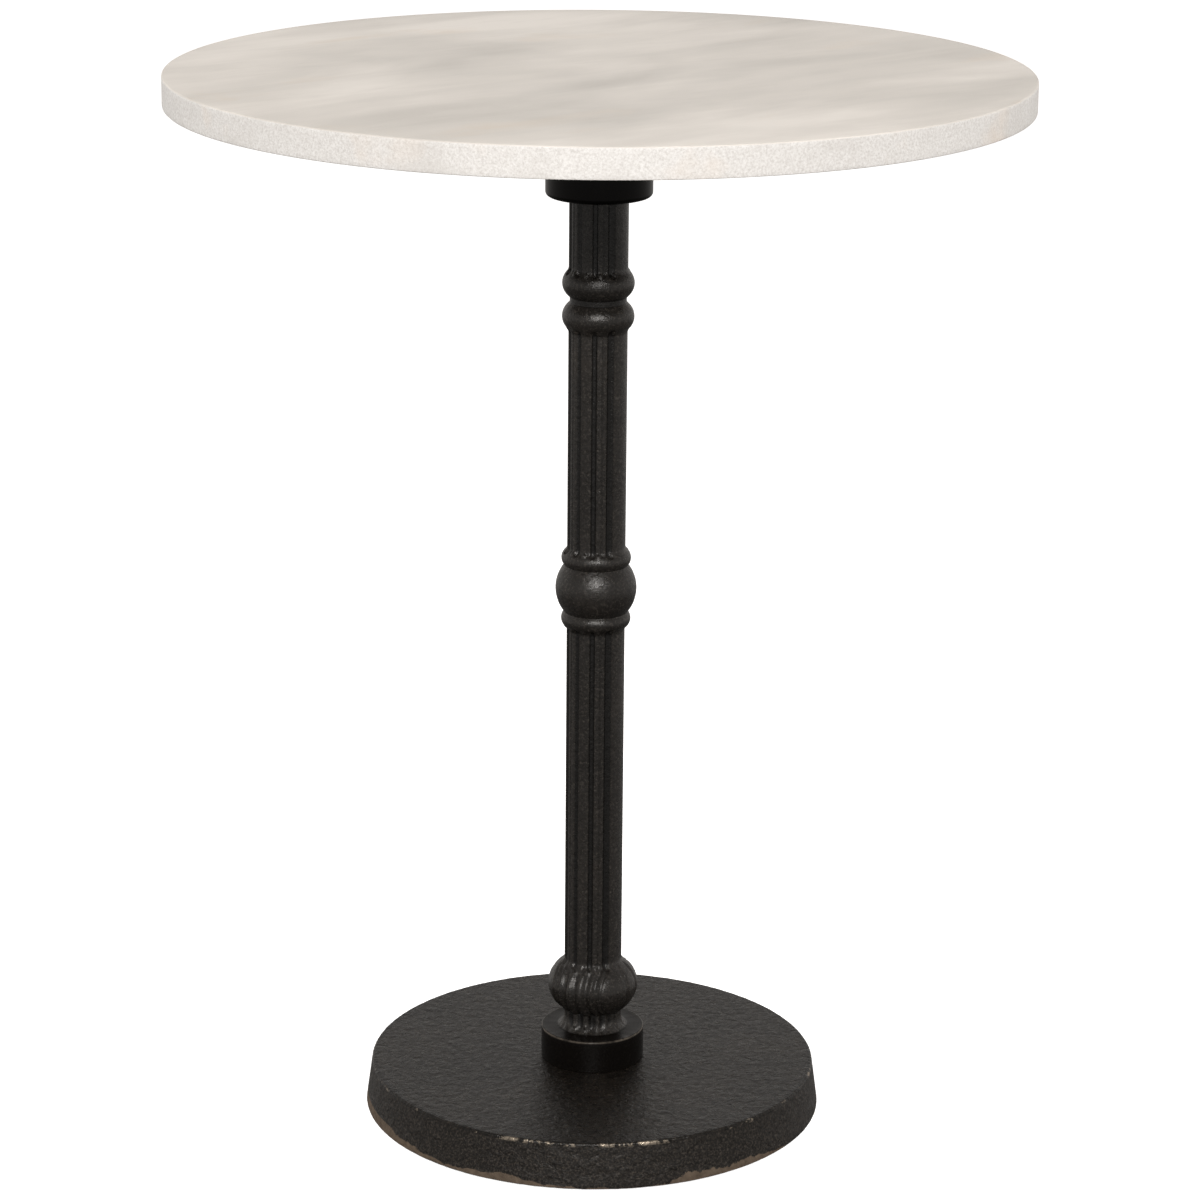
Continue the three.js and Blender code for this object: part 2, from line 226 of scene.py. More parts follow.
def block(x_range, y_range, z_range):
    bpy.ops.object.select_all(action="DESELECT")
    bpy.ops.mesh.primitive_cube_add(size=1)
    piece = bpy.context.object
    sides = (x_range, y_range, z_range)
    edit(piece)
    bpy.ops.transform.resize(value=[high - low for low, high in sides])
    bpy.ops.transform.translate(value=[(low + high) / 2 for low, high in sides])
    leave_edit()
    return piece


def select_vertices(piece, wanted):
    """Selects the vertices whose place passes the test; the piece is left in edit mode."""
    edit(piece)
    bpy.ops.mesh.select_all(action="DESELECT")
    bpy.ops.mesh.select_mode(type="VERT")
    shape = bmesh.from_edit_mesh(piece.data)
    for vertex in shape.verts:
        vertex.select = wanted(vertex.co)
    shape.select_flush(True)
    bmesh.update_edit_mesh(piece.data)


def turn(piece, angle):
    """Turns a piece's mesh about the table's axis."""
    piece.data.transform(Matrix.Rotation(angle, 4, "Z"))


def copy_of(piece, name=None):
    twin = piece.copy()
    twin.data = piece.data.copy()
    if name:
        twin.name = name
    bpy.context.collection.objects.link(twin)
    return twin


def joined(parts):
    activate(parts[0])
    for part in parts:
        part.select_set(True)
    bpy.ops.object.join()
    return parts[0]


def round_the_axis(piece, angles):
    """One body made of copies of a piece set round the table's axis; the piece is used up."""
    copies = [copy_of(piece) for _ in angles]
    for twin, angle in zip(copies, angles):
        turn(twin, math.radians(angle))
    bpy.data.objects.remove(piece)
    return joined(copies)


def press(piece, share_at, travel):
    """Moves a surface along its normals, by the share of the travel given for each place."""
    group = piece.vertex_groups.new(name="pressed")
    for vertex in piece.data.vertices:
        share = share_at(vertex.co)
        if share > 0:
            group.add([vertex.index], share, "REPLACE")
    settings = {"direction": "NORMAL", "mid_level": 0, "strength": travel, "vertex_group": group.name}
    apply_modifier(piece, "DISPLACE", **settings)
    piece.vertex_groups.clear()


def cast_skin(piece, shown, size, depth):
    """Uneven surface of a sand casting, pressed only inwards, on the faces that show."""
    group = piece.vertex_groups.new(name="skin")
    chosen = [vertex.index for vertex in piece.data.vertices if shown(vertex.co)]
    group.add(chosen, 1, "REPLACE")
    sand = bpy.data.textures.new(f"{piece.name}_sand", "CLOUDS")
    sand.noise_scale = size
    sand.noise_depth = 3
    settings = {"direction": "NORMAL", "mid_level": 1, "strength": depth, "vertex_group": group.name}
    apply_modifier(piece, "DISPLACE", texture=sand, texture_coords="LOCAL", **settings)
    piece.vertex_groups.clear()


def fit(piece, node, body, material):
    """Puts a finished piece in its node's place."""
    piece.data.materials.clear()
    piece.data.materials.append(material)
    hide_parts(node)
    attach(piece, body)


def station(node):
    """Place on plan of a repeated node."""
    low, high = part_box(node)
    return (low.x + high.x) / 2, (low.y + high.y) / 2


def set_out(piece, node_stem, count, body, material):
    """Copies a piece modelled on the axis to each numbered node; the piece is used up."""
    for number in range(1, count + 1):
        node = f"{node_stem}_{number}"
        x, y = station(node)
        twin = copy_of(piece, f"{node}_fine")
        twin.data.transform(Matrix.Translation((x, y, 0)))
        fit(twin, node, body.format(number), material)
    bpy.data.objects.remove(piece)


# ---- Materials ----


class Finish:
    """A node material built round one Principled shader."""

    def __init__(self, name, **sockets):
        self.material = bpy.data.materials.new(name)
        self.material.use_nodes = True
        self.nodes = self.material.node_tree.nodes
        self.links = self.material.node_tree.links
        self.shader = self.nodes["Principled BSDF"]
        for socket, value in sockets.items():
            self.shader.inputs[socket.replace("_", " ")].default_value = value
        self.place = self.nodes.new("ShaderNodeTexCoord").outputs["Object"]

    def node(self, kind, inputs=None, **settings):
        made = self.nodes.new(f"ShaderNode{kind}")
        for key, value in settings.items():
            setattr(made, key, value)
        for socket, value in (inputs or {}).items():
            self.feed(made.inputs[socket], value)
        return made

    def feed(self, socket, value):
        if isinstance(value, bpy.types.NodeSocket):
            self.links.new(value, socket)
        else:
            socket.default_value = value

    def noise(self, scale, detail=4, roughness=0.55, distortion=0, place=None):
        inputs = {"Vector": place or self.place, "Scale": scale, "Detail": detail}
        inputs |= {"Roughness": roughness, "Distortion": distortion}
        return self.node("TexNoise", inputs).outputs["Fac"]

    def mapped(self, scale):
        return self.node("Mapping", {"Vector": self.place, "Scale": scale}).outputs["Vector"]

    def stretched(self, turned_by, scale):
        """Object coordinates drawn out along axes turned about the upright."""
        inputs = {"Vector": self.place, "Rotation": (0, 0, turned_by), "Scale": scale}
        return self.node("Mapping", inputs, vector_type="TEXTURE").outputs["Vector"]

    def ramp(self, value, stops):
        made = self.node("ValToRGB", {"Fac": value})
        elements = made.color_ramp.elements
        while len(elements) < len(stops):
            elements.new(0.5)
        for element, (position, colour) in zip(elements, stops):
            element.position = position
            element.color = (*colour, 1)
        return made.outputs["Color"]

    def between(self, value, low, high, to_low=0.0, to_high=1.0):
        inputs = {"Value": value, "From Min": low, "From Max": high, "To Min": to_low, "To Max": to_high}
        return self.node("MapRange", inputs, clamp=True).outputs["Result"]

    def maths(self, operation, a, b):
        return self.node("Math", {0: a, 1: b}, operation=operation).outputs["Value"]

    def times(self, a, b):
        return self.maths("MULTIPLY", a, b)

    def plus(self, a, b):
        return self.maths("ADD", a, b)

    def coordinate(self, letter):
        return self.node("SeparateXYZ", {"Vector": self.place}).outputs[letter]

    def from_axis(self):
        """Distance from the table's axis."""
        return self.node("VectorMath", {0: self.mapped((1, 1, 0))}, operation="LENGTH").outputs["Value"]

    def mix(self, factor, a, b):
        made = self.node("Mix", data_type="RGBA")
        for index, value in ((0, factor), (6, a), (7, b)):
            value = (*value, 1) if isinstance(value, tuple) else value
            self.feed(made.inputs[index], value)
        return made.outputs[2]

    def bump(self, *layers):
        """Stacks (height, strength, distance) layers of relief, the coarsest first."""
        normal = None
        for height, strength, distance in layers:
            inputs = {"Height": height, "Strength": strength, "Distance": distance}
            if normal:
                inputs["Normal"] = normal
            normal = self.node("Bump", inputs).outputs["Normal"]
        self.links.new(normal, self.shader.inputs["Normal"])

    def set(self, **sockets):
        for socket, value in sockets.items():
            self.feed(self.shader.inputs[socket.replace("_", " ")], value)
        return self.material


def grey(value):
    return (value, value, value)


def marble():
    """Pale warm-grey marble: soft cloudy bands running across the slab, and a ground, sugary edge."""
    stone = Finish("pale_marble", IOR=1.48)
    banded = stone.stretched(math.radians(-46), (1, 2.3, 1))
    streaked = stone.stretched(math.radians(-50), (1, 4.5, 1))
    wide = stone.noise(9, 4, 0.5, 0.5, banded)
    streak = stone.noise(26, 5, 0.6, 0.5, streaked)
    patch = stone.noise(4.2, 3, 0.5)
    shade = stone.plus(stone.times(wide, 0.55), stone.times(streak, 0.23))
    shade = stone.plus(shade, stone.times(patch, 0.22))
    dark, dull = (0.49, 0.466, 0.43), (0.58, 0.555, 0.518)
    clear, bright = (0.65, 0.62, 0.58), (0.75, 0.718, 0.676)
    clouds = stone.ramp(shade, [(0.38, dark), (0.46, dull), (0.53, clear), (0.62, bright)])
    rust = stone.between(stone.noise(13, 5, 0.6, 0.4, banded), 0.60, 0.74)
    tinted = stone.mix(stone.times(rust, 0.4), clouds, (0.62, 0.52, 0.41))
    thread = stone.between(stone.noise(40, 6, 0.6, 0.3, streaked), 0.60, 0.72)
    veined = stone.mix(stone.times(thread, 0.24), tinted, (0.47, 0.44, 0.40))
    grain = stone.noise(700, 3, 0.6)
    fine = stone.mix(stone.between(grain, 0.35, 0.65, 0, 0.12), veined, (0.86, 0.83, 0.79))
    facing = stone.node("NewGeometry").outputs["True Normal"]
    upright = stone.maths("ABSOLUTE", stone.node("SeparateXYZ", {"Vector": facing}).outputs["Z"], 0)
    on_edge = stone.between(upright, 0.55, 0.25)
    colour = stone.mix(on_edge, fine, ground_edge(stone))
    polish = stone.between(wide, 0.3, 0.7, 0.32, 0.42)
    polish = stone.plus(polish, stone.between(grain, 0.3, 0.7, 0, 0.08))
    rough = stone.plus(polish, stone.times(on_edge, 0.3))
    crystals = stone.times(stone.noise(420, 4, 0.7), stone.plus(on_edge, 0.12))
    stone.bump((crystals, 0.8, 0.35 * MM))
    return stone.set(Base_Color=colour, Roughness=rough)


def ground_edge(stone):
    """Whiter, sugary colour of the slab's ground edge, with a few peach and ash stains."""
    grains = [(0.34, (0.62, 0.605, 0.585)), (0.5, (0.745, 0.735, 0.72)), (0.64, (0.84, 0.835, 0.825))]
    sugar = stone.ramp(stone.noise(620, 4, 0.72), grains)
    peach = stone.between(stone.noise(17, 3), 0.56, 0.72, 0, 0.45)
    stained = stone.mix(peach, sugar, (0.78, 0.67, 0.57))
    ash = stone.between(stone.noise(24, 5, 0.6), 0.54, 0.70, 0, 0.45)
    return stone.mix(ash, stained, (0.60, 0.58, 0.555))


def painted_iron(name, smooth_below=0, smooth_above=1):
    """Black-brown satin paint over a sandy casting; its turned ends are smoother, and blacker partly as
    their own finish and partly as painted shade.
    """
    iron = Finish(name, IOR=1.5)
    height = iron.coordinate("Z")
    below = iron.between(height, smooth_below, smooth_below + 0.6 * MM, 1, 0)
    above = iron.between(height, smooth_above - 0.6 * MM, smooth_above)
    turned_shaded_end = iron.maths("MAXIMUM", below, above)
    cast = iron.maths("SUBTRACT", 1.0, turned_shaded_end)
    from_axis = iron.from_axis()
    # Dust on the lands, and painted shade in the flutes.
    dusted = dusty_paint_with_flute_shade(iron, from_axis)
    # Painted shade: the near-black colour of the turned ends also stands in for the shade under the slab
    # and the dark reflection on the boss.
    painted = iron.mix(iron.times(turned_shaded_end, 0.92), dusted, (0.0022, 0.0017, 0.0014))
    # A lighter line along the boss's upper edge: partly wear, partly painted highlight.
    rubbed_and_lit = boss_edge(iron, height, from_axis)
    colour = iron.mix(rubbed_and_lit, painted, (0.10, 0.084, 0.068))
    grain = iron.between(iron.noise(330, 4, 0.7), 0.3, 0.7, 0.18, 0.42)
    rough = iron.plus(iron.times(grain, cast), iron.times(turned_shaded_end, 0.27))
    lumps = iron.times(iron.noise(150, 3), cast)
    peel = iron.times(iron.noise(430, 5, 0.72), cast)
    iron.bump((lumps, 0.4, 0.8 * MM), (peel, 0.8, 0.4 * MM))
    shine = iron.maths("SUBTRACT", 0.42, iron.times(turned_shaded_end, 0.27))
    return iron.set(Base_Color=colour, Roughness=rough, Specular_IOR_Level=shine)


def dusty_paint_with_flute_shade(iron, from_axis):
    """Paint clouded and speckled with dust on the lands, and nearly black in the flutes as painted shade.
    """
    dark, brown, light = (0.0080, 0.0069, 0.0060), (0.0120, 0.0105, 0.0092), (0.018, 0.0150, 0.0125)
    paint = iron.ramp(iron.noise(28, 5), [(0.3, dark), (0.55, brown), (0.75, light)])
    on_land = iron.between(from_axis, SHAFT_RADIUS - 0.9 * MM, SHAFT_RADIUS - 0.25 * MM)
    # Painted shade: the flutes and the bore get a near-black colour for the shade that falls in them.
    shaded = iron.mix(on_land, (0.0028, 0.0024, 0.0021), paint)
    speck = iron.between(iron.noise(560, 4, 0.78), 0.53, 0.66)
    return iron.mix(iron.times(speck, iron.times(on_land, 0.5)), shaded, (0.085, 0.075, 0.065))


def boss_edge(iron, height, from_axis):
    """How far the paint has gone through along the boss's upper edge: a lighter line that is partly wear
    and partly a painted highlight on the edge.
    """
    above = iron.between(height, BOSS_TOP - 1.7 * MM, BOSS_TOP - 1.0 * MM)
    below = iron.between(height, BOSS_TOP - 0.3 * MM, BOSS_TOP - 0.1 * MM, 1, 0)
    outside = iron.between(from_axis, BOSS_RADIUS - 3 * MM, BOSS_RADIUS - 2.4 * MM)
    on_edge = iron.times(iron.times(above, below), outside)
    return iron.times(on_edge, iron.between(iron.noise(90, 5, 0.7), 0.4, 0.62, 0.15, 0.75))


def foot_iron():
    """The foot's rough painted top and skirt with a painted shade line inside the shoulder, its shoulder
    line of bare metal that is partly wear and partly painted highlight, and the bare lower rim.
    """
    iron = Finish("foot_iron", IOR=1.5, Specular_IOR_Level=0.31)
    height = iron.coordinate("Z")
    on_skirt = iron.between(height, FOOT_HIGH - 3 * MM, FOOT_HIGH - 2 * MM, 1, 0)
    from_axis = iron.from_axis()
    painted = foot_paint(iron, on_skirt, from_axis)
    # The shoulder line: partly wear, partly painted highlight.
    rubbed_and_lit = shoulder_wear_and_highlight(iron, height, from_axis)
    worn_and_lit = iron.mix(rubbed_and_lit, painted, (0.40, 0.34, 0.27))
    bare = bare_rim(iron, height)
    raw = iron.ramp(iron.noise(180, 5), [(0.3, (0.070, 0.051, 0.036)), (0.7, (0.135, 0.102, 0.074))])
    colour = iron.mix(bare, worn_and_lit, raw)
    gloss = iron.between(iron.noise(230, 5, 0.68), 0.32, 0.68, 0.20, 0.42)
    gloss = iron.plus(gloss, iron.times(on_skirt, 0.12))
    rough = iron.plus(gloss, iron.times(bare, 0.3))
    hammered = iron.noise(140, 4, 0.6, 0.6)
    iron.bump((hammered, 0.9, 1.5 * MM), (iron.noise(400, 5, 0.72), 0.9, 0.4 * MM))
    return iron.set(Base_Color=colour, Roughness=rough, Metallic=rubbed_and_lit)


def shoulder_wear_and_highlight(iron, height, from_axis):
    """A broken line of bright metal along the shoulder, closest at the front: partly wear and partly a
    painted highlight where the front light falls.
    """
    off_line = iron.maths("ABSOLUTE", iron.maths("SUBTRACT", from_axis, FOOT_RADIUS - 4.6 * MM), 0)
    line = iron.between(off_line, 0.2 * MM, 1.3 * MM, 1, 0)
    line = iron.times(line, iron.between(height, FOOT_HIGH - 3.2 * MM, FOOT_HIGH - 1.8 * MM))
    # Painted highlight: the line is filled in more towards the front, where the front light falls.
    lit_front = iron.between(iron.coordinate("Y"), -0.86 * FOOT_RADIUS, -0.96 * FOOT_RADIUS, 0.0, 0.12)
    patchy = iron.plus(iron.noise(75, 5, 0.72), lit_front)
    return iron.times(line, iron.between(patchy, 0.59, 0.68))


def bare_rim(iron, height):
    """Where the paint has chipped off the lower rim, most of all at the right of the front."""
    mirrored = iron.mapped((-1, 1, 1))
    ragged = iron.between(iron.noise(8.5, 7, 0.62, 0, mirrored), 0.42, 0.62, 0.5 * MM, 8 * MM)
    towards = {0: iron.place, 1: (0.53, -0.85, 0)}
    right_front = iron.node("VectorMath", towards, operation="DOT_PRODUCT").outputs["Value"]
    knocked = iron.between(right_front, 0.955 * FOOT_RADIUS, 0.985 * FOOT_RADIUS, 0, 5 * MM)
    chipped = iron.times(knocked, iron.between(iron.noise(45, 5, 0.7), 0.38, 0.58))
    edge = iron.plus(ragged, chipped)
    return iron.between(iron.maths("SUBTRACT", height, edge), FOOT_LOW + 0.5 * MM, FOOT_LOW)


def foot_paint(iron, on_skirt, from_axis):
    """Black-brown paint, pitted and dusted on top, sandy on the skirt, with a near-black line of painted
    shade just inside the shoulder.
    """
    dark, brown, light = (0.0042, 0.0034, 0.0027), (0.0068, 0.0055, 0.0043), (0.0115, 0.009, 0.0068)
    paint = iron.ramp(iron.noise(16, 6, 0.6, 0.3), [(0.3, dark), (0.52, brown), (0.72, light)])
    pits = iron.between(iron.noise(300, 4, 0.68), 0.36, 0.46)
    pitted = iron.mix(pits, (0.001, 0.0008, 0.0007), paint)
    speck = iron.between(iron.noise(480, 3, 0.75), 0.57, 0.68)
    dusted = iron.mix(iron.times(speck, 0.45), pitted, (0.060, 0.048, 0.037))
    black, grey_brown, sand = (0.0035, 0.0029, 0.0024), (0.010, 0.0085, 0.0070), (0.050, 0.042, 0.035)
    sandy = iron.ramp(iron.noise(700, 4, 0.75), [(0.38, black), (0.50, grey_brown), (0.64, sand)])
    skirted = iron.mix(on_skirt, dusted, sandy)
    # Painted shade: a near-black line on the top just inside the shoulder's rounding.
    from_shoulder = iron.maths("ABSOLUTE", iron.maths("SUBTRACT", from_axis, FOOT_RADIUS - 7 * MM), 0)
    shoulder_shade_line = iron.between(from_shoulder, 0, 1.4 * MM, 0.8, 0)
    return iron.mix(shoulder_shade_line, skirted, (0.0015, 0.0012, 0.001))


def zinc():
    """Zinc-plated steel with a cloudy passivated skin."""
    steel = Finish("zinc_plate", Metallic=1.0)
    colour = steel.ramp(steel.noise(90, 4), [(0.3, (0.42, 0.43, 0.44)), (0.7, (0.60, 0.60, 0.58))])
    steel.bump((steel.noise(700, 3), 0.12, 0.2 * MM))
    rough = steel.between(steel.noise(300, 3), 0.3, 0.7, 0.28, 0.46)
    return steel.set(Base_Color=colour, Roughness=rough)


def brass():
    """Turned brass with faint tool rings."""
    metal = Finish("turned_brass", Metallic=1.0)
    rings = metal.noise(60, 3, 0.5, 0, metal.mapped((1, 1, 30)))
    colour = metal.ramp(rings, [(0.3, (0.52, 0.36, 0.13)), (0.7, (0.68, 0.50, 0.21))])
    metal.bump((rings, 0.1, 0.2 * MM))
    return metal.set(Base_Color=colour, Roughness=metal.between(rings, 0.3, 0.7, 0.25, 0.4))


def moulded(name, dark, light, rough):
    """Matt moulded rubber or nylon with a fine grain and scuffs."""
    plastic = Finish(name)
    colour = plastic.ramp(plastic.noise(120, 4), [(0.3, grey(dark)), (0.7, grey(light))])
    plastic.bump((plastic.noise(900, 3), 0.2, 0.2 * MM))
    roughness = plastic.between(plastic.noise(260, 4), 0.3, 0.7, rough, rough + 0.15)
    return plastic.set(Base_Color=colour, Roughness=roughness)


# ---- Slab ----


def slab():
    """Round slab with a rounded upper edge, a small lower arris and four blind holes for the inserts."""
    edge_round, arris = 1.3 * MM, 0.7 * MM
    hole_radius, hole_depth = 6.3 * MM, 13.5 * MM
    profile = [(0, SLAB_LOW), (SLAB_RADIUS * 0.5, SLAB_LOW)]
    profile += arc(SLAB_RADIUS - arris, SLAB_LOW + arris, arris, arris, -90, 0, 3)
    profile += straight(SLAB_RADIUS, SLAB_LOW + arris, SLAB_HIGH - edge_round, 8)
    profile += arc(SLAB_RADIUS - edge_round, SLAB_HIGH - edge_round, edge_round, edge_round, 0, 90, 5)
    profile += span(SLAB_RADIUS - edge_round, 0, SLAB_HIGH, 12)
    profile += [(0, SLAB_HIGH)]
    piece = turned("slab", profile, 384)
    from_axis, _ = station("top_insert_1")
    hole = bar(hole_radius, SLAB_LOW - MM, SLAB_LOW + hole_depth, (from_axis, 0), 48)
    cut(piece, round_the_axis(hole, QUARTERS))
    smooth(piece)
    return piece


# ---- Column ----


def column_profile():
    """Outline of the column from the lower spigot up to the upper one."""
    boss_round, foot_arris = 1.3 * MM, 0.4 * MM
    flare_across, flare_up = NECK_FLARE
    profile = [(BORE_RADIUS, COLUMN_LOW), (SPIGOT_RADIUS, COLUMN_LOW), (SPIGOT_RADIUS, FOOT_HIGH)]
    profile += [(BOSS_RADIUS - foot_arris, FOOT_HIGH), (BOSS_RADIUS, FOOT_HIGH + foot_arris)]
    profile += straight(BOSS_RADIUS, FOOT_HIGH + foot_arris, BOSS_TOP - boss_round, 7)
    profile += arc(BOSS_RADIUS - boss_round, BOSS_TOP - boss_round, boss_round, boss_round, 0, 90, 5)
    flare_radius = NECK_RADIUS + flare_across
    profile += arc(flare_radius, BOSS_TOP + flare_up, flare_across, flare_up, 270, 180, 12)
    _, middle, across, up = LOWER_BALL
    neck = math.degrees(math.acos(NECK_RADIUS / across))
    shoulder = math.degrees(math.acos((SHAFT_RADIUS + FILLET) / across))
    profile += arc(0, middle, across, BALL_UNDERSIDE, -neck, 0, 24)
    profile += arc(0, middle, across, up, 0, shoulder, 20)[1:]
    profile += shaft_run(LOWER_BALL, LOWER_RING)
    profile += bulge(LOWER_RING, SHAFT_RADIUS + FILLET, RING_GROOVE_RADIUS, 16)
    profile += bulge(MIDDLE_BALL, RING_GROOVE_RADIUS, RING_GROOVE_RADIUS, 28)
    profile += bulge(UPPER_RING, RING_GROOVE_RADIUS, SHAFT_RADIUS + FILLET, 16)
    profile += shaft_run(UPPER_RING, LOWER_BEAD)
    profile += bulge(LOWER_BEAD, SHAFT_RADIUS + FILLET, BEAD_GROOVE_RADIUS, 20)
    profile += bulge(UPPER_BEAD, BEAD_GROOVE_RADIUS, SHAFT_RADIUS + FILLET, 20)
    profile += shaft_run(UPPER_BEAD, None)
    profile += [(SHAFT_RADIUS, SHAFT_TOP), (SPIGOT_RADIUS, SHAFT_TOP), (SPIGOT_RADIUS, COLUMN_HIGH)]
    profile += [(BORE_RADIUS, COLUMN_HIGH)]
    return profile


def shaft_run(below, above):
    """A plain length of shaft between two bulges, with a fillet and close rings at each end."""
    low = upper_end(below)
    high = lower_end(above) if above else SHAFT_TOP
    rise = 1.6 * FILLET
    fillet = [(0.25, 0.35), (0.06, 0.75), (0, 1)]
    points = [(SHAFT_RADIUS + FILLET * out, low + rise * up) for out, up in fillet]
    close = 4 * MM
    wide_rings = round((high - low) / (12 * MM))
    points += straight(SHAFT_RADIUS, low + rise, low + rise + close, 3)
    points += straight(SHAFT_RADIUS, low + rise + close, high - rise - close, wide_rings)
    points += straight(SHAFT_RADIUS, high - rise - close, high - rise, 3)
    if above:
        points += [(SHAFT_RADIUS + FILLET * out, high - rise * up) for out, up in reversed(fillet)]
    return points


def lower_end(form):
    """Height at which a bulge grows out of the shaft."""
    return form[1] - reach(form, SHAFT_RADIUS)


def upper_end(form):
    """Height at which a bulge goes back into the shaft."""
    return form[1] + reach(form, SHAFT_RADIUS)


def shaft_lengths():
    """Lower and upper end of each fluted length of the shaft."""
    return (
        (upper_end(LOWER_BALL), lower_end(LOWER_RING)),
        (upper_end(UPPER_RING), lower_end(LOWER_BEAD)),
        (upper_end(UPPER_BEAD), COLUMN_HIGH),
    )


def angle_from(place, axis):
    """Angle in radians from the nearer end of an axis through the column, 0 to a right angle."""
    turned_by = (math.atan2(place.y, place.x) - axis) % math.pi
    return min(turned_by, math.pi - turned_by)


def groove_depth(across, beyond, grooves, section):
    """Depth of the deepest of a set of grooves, across its run and past its end."""
    deepest = 0
    for middle, half_width, depth in grooves:
        off = math.hypot(across - middle, beyond) / half_width
        if off < 1:
            deepest = max(deepest, depth * section(off))
    return deepest


def round_shaft(grooves, radius):
    """Grooves given by angle, as lengths round a surface of some radius."""
    return [(radius * math.radians(angle), half_width, depth) for angle, half_width, depth in grooves]


def channel(off):
    """Section of a flute: a U with a rounded floor."""
    return 1 - off**3


def wave(off):
    """Section of a rounded valley or pip."""
    return (1 + math.cos(math.pi * off)) / 2


def left_plain(place):
    """True in the bore, on the spigots and on the boss, which have no flutes and no pips."""
    return math.hypot(place.x, place.y) < SHAFT_RADIUS - 2 * MM or place.z < BOSS_TOP + 0.3 * MM


def flute_share(place):
    """Depth of the flutes and of the lower ball's valleys, as a share of the deepest."""
    if left_plain(place):
        return 0
    depth = 0
    across = SHAFT_RADIUS * angle_from(place, DRAW_ANGLE)
    for low, high in shaft_lengths():
        beyond = max(low - place.z, place.z - high, 0)
        if beyond < FLUTE_STOP:
            depth = groove_depth(across, beyond, round_shaft(FLUTES, SHAFT_RADIUS), channel)
    if place.z < upper_end(LOWER_BALL):
        depth = max(depth, gadroon_depth(place))
    return depth / DEEPEST


def gadroon_depth(place):
    """Valleys of the lower ball and its neck, fading out at the shaft and at the boss."""
    fade_above = (upper_end(LOWER_BALL) - place.z) / GADROON_FADE_ABOVE
    fade_below = (place.z - BOSS_TOP) / GADROON_FADE_BELOW
    fade = min(1, fade_above, fade_below)
    angle = angle_from(place, GADROON_ANGLE)
    offset = math.hypot(place.x, place.y) * math.sin(angle)
    valleys = groove_depth(offset, 0, GADROONS, wave)
    seam = groove_depth(LOWER_BALL[2] * angle, 0, round_shaft(SEAM_VALLEY, LOWER_BALL[2]), wave)
    return fade * max(valleys, seam)


def pip_share(place):
    """Height of the pips at the ends of the lands and on the neck, as a share of the full height."""
    if left_plain(place):
        return 0
    pips = [(low - PIP_OVERRUN, PIP_ANGLES, DRAW_ANGLE) for low, _ in shaft_lengths()]
    pips += [(high + PIP_OVERRUN, PIP_ANGLES, DRAW_ANGLE) for _, high in shaft_lengths()[:-1]]
    pips += [(NECK_PIP_LEVEL, NECK_PIP_ANGLES, GADROON_ANGLE)]
    share = 0
    for level, angles, axis in pips:
        for angle in angles:
            across = SHAFT_RADIUS * (angle_from(place, axis) - math.radians(angle))
            off = math.hypot(across, place.z - level) / PIP_RADIUS
            if off < 1:
                share = wave(off)
    return share


def column_casting():
    """Turned column with its flutes, valleys and pips, and a hole for the dowel in the boss."""
    piece = turned("column_casting", column_profile(), 384, closed=True)
    press(piece, flute_share, -DEEPEST)
    press(piece, pip_share, PIP_HEIGHT)
    cast_skin(piece, on_bulge, 7 * MM, 0.22 * MM)
    hole_top = FOOT_HIGH + 8.9 * MM
    cut(piece, bar(DOWEL_HOLE_RADIUS, FOOT_HIGH - MM, hole_top, station("column_dowel"), 32))
    smooth(piece)
    return piece


def on_bulge(place):
    """True on the balls, rings, beads and neck, outside the plain shaft."""
    radius = math.hypot(place.x, place.y)
    return BOSS_TOP < place.z < SHAFT_TOP - MM and SHAFT_RADIUS + 0.8 * MM < radius


# ---- Foot ----


def foot_profile():
    """Section of the foot: plate, tapered skirt and centre pad, with the register for the spigot."""
    rim = 1.2 * MM
    shoulder = 2 * MM
    shoulder_radius = FOOT_RADIUS - 4.2 * MM
    plate_low = FOOT_HIGH - 10 * MM
    pad_low = FOOT_HIGH - 14 * MM
    pad_radius = 45 * MM
    pad_foot = pad_radius + 2 * MM
    register = SPIGOT_RADIUS + FIT_GAP
    register_floor = COLUMN_LOW - FIT_GAP
    inner = FOOT_RADIUS - 9 * MM
    corner = 2 * MM
    skirt_rings = 14
    profile = [(ROD_HOLE_RADIUS, pad_low), (pad_radius, pad_low), (pad_foot, plate_low)]
    profile += span(pad_foot, inner - corner, plate_low, 4)
    profile += arc(inner - corner, plate_low - corner, corner, corner, 90, 0, 5)
    profile += [(inner, FOOT_LOW + rim), (inner + rim, FOOT_LOW)]
    profile += arc(FOOT_RADIUS - rim, FOOT_LOW + rim, rim, rim, 270, 360, 5)
    skirt_low, skirt_high = FOOT_LOW + rim, FOOT_HIGH - shoulder
    for i in range(1, skirt_rings):
        share = i / skirt_rings
        radius = FOOT_RADIUS + (shoulder_radius - FOOT_RADIUS) * share
        profile += [(radius, skirt_low + (skirt_high - skirt_low) * share)]
    profile += arc(shoulder_radius - shoulder, FOOT_HIGH - shoulder, shoulder, shoulder, 0, 90, 7)
    profile += span(shoulder_radius - shoulder, register, FOOT_HIGH, 52)
    profile += [(register, FOOT_HIGH), (register, register_floor), (ROD_HOLE_RADIUS, register_floor)]
    return profile


def foot_skin(place):
    """True on the top outside the boss, and on the skirt."""
    on_top = place.z > FOOT_HIGH - 0.2 * MM
    return place.xy.length > (BOSS_RADIUS + 1.5 * MM if on_top else FOOT_RADIUS - 8 * MM)


